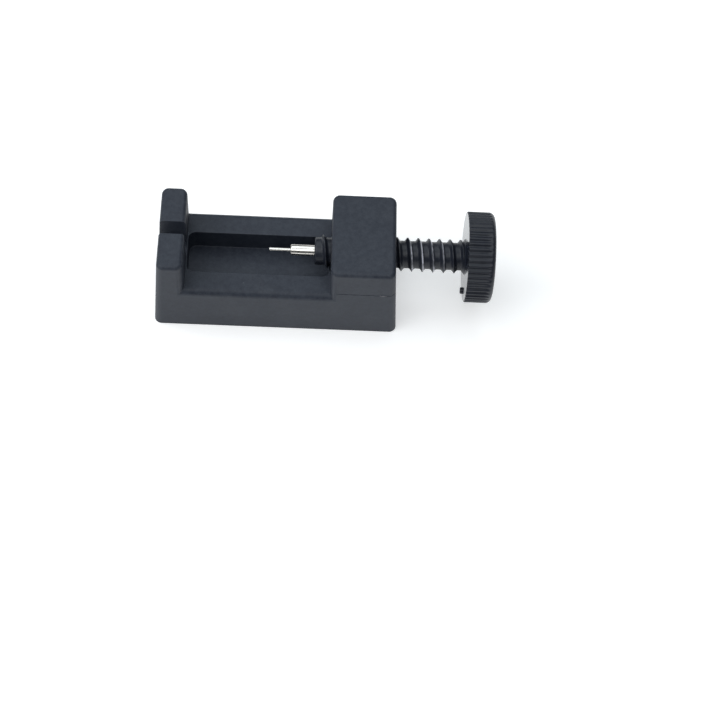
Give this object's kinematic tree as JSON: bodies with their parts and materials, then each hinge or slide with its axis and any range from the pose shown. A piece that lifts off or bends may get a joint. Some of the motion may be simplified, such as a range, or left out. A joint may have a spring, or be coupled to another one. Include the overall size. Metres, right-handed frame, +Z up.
{
  "type": "watch bracelet pin remover",
  "caption": "Moulded bed with a notched jaw and a threaded block; a knurled thumb screw pushes a thin steel pin along the bed to drive link pins out of a watch bracelet.",
  "frame": {"origin": "middle of the face that the bed stands on", "axes": "+X along the screw towards its knob, +Z up, +Y across the bed away from the viewer"},
  "size_m": [0.0797, 0.023, 0.0279],
  "materials": {
    "bed_plastic": "fine moulded satin texture, dark slate black",
    "screw_plastic": "semi-gloss black, polished thread crests",
    "holder_steel": "bright turned nickel-plated steel",
    "pin_steel": "bright drawn steel"
  },
  "bodies": {
    "bed": {"bed_moulding": "bed_plastic"},
    "pin_carrier": {"pin_holder": "holder_steel", "drive_pin": "pin_steel"},
    "thumb_screw": {"thumb_screw": "screw_plastic"}
  },
  "joints": [
    {"name": "screw_feed", "type": "slide", "parent": "bed", "child": "pin_carrier", "axis": [-1, 0, 0], "range_m": [-0.01375, 0.015]},
    {"name": "screw_turn", "type": "hinge", "parent": "pin_carrier", "child": "thumb_screw", "pos_m": [0.02, 0, 0.0172], "axis": [-1, 0, 0], "range_deg": [-1980, 2160]}
  ],
  "couplings": [
    {"joint": "screw_feed", "follows": "screw_turn", "m_per_rad": 0.00039789}
  ]
}
